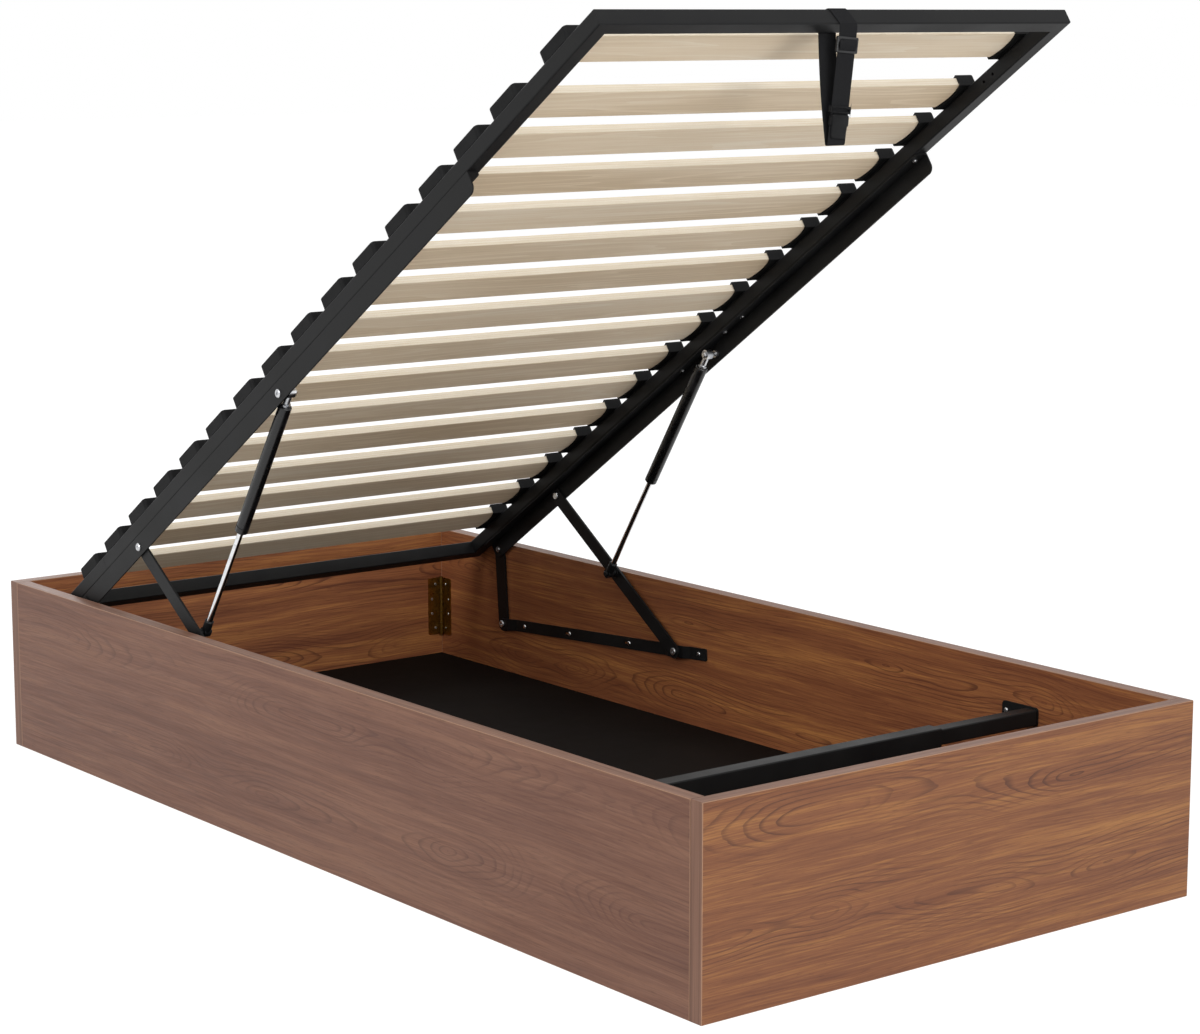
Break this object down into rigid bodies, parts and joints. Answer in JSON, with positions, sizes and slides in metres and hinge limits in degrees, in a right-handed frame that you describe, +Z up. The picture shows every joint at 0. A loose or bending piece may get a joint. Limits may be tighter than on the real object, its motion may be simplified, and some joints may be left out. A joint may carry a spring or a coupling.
{
  "type": "storage bed",
  "caption": "Single ottoman storage bed: wood-effect box with a slatted base that lifts from the foot end on pivoted links and gas springs.",
  "frame": {"origin": "on the floor under the middle of the box", "axes": "+Z up, +Y towards the head end, +X across the bed"},
  "size_m": [0.96, 1.96, 1.3299],
  "materials": {
    "walnut_board": "walnut effect melamine, satin",
    "floor_board": "black laminated sheet",
    "batten_timber": "planed softwood",
    "hinge_brass": "plated",
    "black_steel": "black powder coat",
    "zinc_fittings": "bright zinc plate",
    "chrome_rod": "hard chrome",
    "cylinder_paint": "smooth black paint",
    "fitting_plastic": "moulded, fine texture",
    "slat_plywood": "clear lacquered beech plywood",
    "cap_plastic": "moulded, coarse texture",
    "webbing": "woven polyester"
  },
  "bodies": {
    "root": {"side_panel_left": "walnut_board", "side_panel_right": "walnut_board", "head_panel": "walnut_board", "foot_panel": "walnut_board", "floor_panel": "floor_board", "floor_battens": "batten_timber", "corner_hinge_leaves": "hinge_brass", "corner_hinge_pins": "hinge_brass", "hinge_screws": "hinge_brass", "base_rail_left": "black_steel", "base_rail_right": "black_steel", "base_pivot_pins": "zinc_fittings", "box_screws": "black_steel", "support_rail_outer": "black_steel", "support_rail_inner": "black_steel", "support_brackets": "black_steel"},
    "front_link_left": {"front_link_left": "black_steel"},
    "front_link_right": {"front_link_right": "black_steel"},
    "rear_link_left": {"rear_link_left": "black_steel"},
    "rear_link_right": {"rear_link_right": "black_steel"},
    "lift_frame": {"side_tube_left": "black_steel", "side_tube_right": "black_steel", "foot_tube": "black_steel", "head_tube": "black_steel", "top_rail_left": "black_steel", "top_rail_right": "black_steel", "slat_01": "slat_plywood", "slat_02": "slat_plywood", "slat_03": "slat_plywood", "slat_04": "slat_plywood", "slat_05": "slat_plywood", "slat_06": "slat_plywood", "slat_07": "slat_plywood", "slat_08": "slat_plywood", "slat_09": "slat_plywood", "slat_10": "slat_plywood", "slat_11": "slat_plywood", "slat_12": "slat_plywood", "slat_13": "slat_plywood", "slat_14": "slat_plywood", "slat_15": "slat_plywood", "slat_16": "slat_plywood", "slat_caps_left": "cap_plastic", "slat_caps_right": "cap_plastic", "frame_screws": "black_steel", "frame_pivot_bolts": "zinc_fittings", "upper_gas_studs": "zinc_fittings", "pull_strap_wrap": "webbing"},
    "gas_cylinder_left": {"gas_cylinder_left": "cylinder_paint", "gas_cylinder_socket_left": "zinc_fittings"},
    "gas_cylinder_right": {"gas_cylinder_right": "cylinder_paint", "gas_cylinder_socket_right": "zinc_fittings"},
    "gas_rod_left": {"gas_rod_left": "chrome_rod", "gas_rod_socket_left": "fitting_plastic"},
    "gas_rod_right": {"gas_rod_right": "chrome_rod", "gas_rod_socket_right": "fitting_plastic"},
    "pull_strap": {"pull_strap_drop": "webbing", "strap_slider": "fitting_plastic", "strap_buckle_plug": "fitting_plastic", "strap_buckle_socket": "fitting_plastic"}
  },
  "joints": [
    {"name": "front_link_left_swing", "type": "hinge", "parent": "root", "child": "front_link_left", "pos_m": [0, 0.20548, 0.18264], "axis": [1, 0, 0], "range_deg": [-28.74, 0], "stiffness_Nm_per_rad": 150, "springref_deg": 114.59},
    {"name": "front_link_right_swing", "type": "hinge", "parent": "root", "child": "front_link_right", "pos_m": [0, 0.20548, 0.18264], "axis": [1, 0, 0], "range_deg": [-28.74, 0]},
    {"name": "lift_frame_tilt", "type": "hinge", "parent": "front_link_left", "child": "lift_frame", "pos_m": [0, 0.55679, 0.42346], "axis": [1, 0, 0], "range_deg": [0, 62.74]},
    {"name": "rear_link_left_swing", "type": "hinge", "parent": "root", "child": "rear_link_left", "pos_m": [0, 0.73836, 0.14665], "axis": [1, 0, 0], "range_deg": [-53.17, 0]},
    {"name": "gas_spring_left_tilt", "type": "hinge", "parent": "lift_frame", "child": "gas_cylinder_left", "pos_m": [0, 0.09725, 0.73342], "axis": [1, 0, 0], "range_deg": [0, 19.91]},
    {"name": "gas_rod_left_slide", "type": "slide", "parent": "gas_cylinder_left", "child": "gas_rod_left", "axis": [0, -0.5436, 0.8394], "range_m": [0, 0.17439]},
    {"name": "rear_link_right_swing", "type": "hinge", "parent": "root", "child": "rear_link_right", "pos_m": [0, 0.73836, 0.14665], "axis": [1, 0, 0], "range_deg": [-53.17, 0]},
    {"name": "gas_spring_right_tilt", "type": "hinge", "parent": "lift_frame", "child": "gas_cylinder_right", "pos_m": [0, 0.09725, 0.73342], "axis": [1, 0, 0], "range_deg": [0, 19.91]},
    {"name": "gas_rod_right_slide", "type": "slide", "parent": "gas_cylinder_right", "child": "gas_rod_right", "axis": [0, -0.5436, 0.8394], "range_m": [0, 0.17439]},
    {"name": "pull_strap_swing", "type": "hinge", "parent": "lift_frame", "child": "pull_strap", "pos_m": [0, -0.71233, 1.3], "axis": [1, 0, 0], "range_deg": [-34, 12]}
  ],
  "couplings": [
    {"joint": "front_link_right_swing", "follows": "front_link_left_swing", "ratio": 1},
    {"joint": "lift_frame_tilt", "follows": "front_link_left_swing", "ratio": -2.1832},
    {"joint": "rear_link_left_swing", "follows": "front_link_left_swing", "ratio": 1.8503},
    {"joint": "gas_spring_left_tilt", "follows": "front_link_left_swing", "ratio": -0.69284},
    {"joint": "gas_rod_left_slide", "follows": "front_link_left_swing", "m_per_rad": -0.34769},
    {"joint": "rear_link_right_swing", "follows": "front_link_left_swing", "ratio": 1.8503},
    {"joint": "gas_spring_right_tilt", "follows": "front_link_left_swing", "ratio": -0.69284},
    {"joint": "gas_rod_right_slide", "follows": "front_link_left_swing", "m_per_rad": -0.34769}
  ]
}
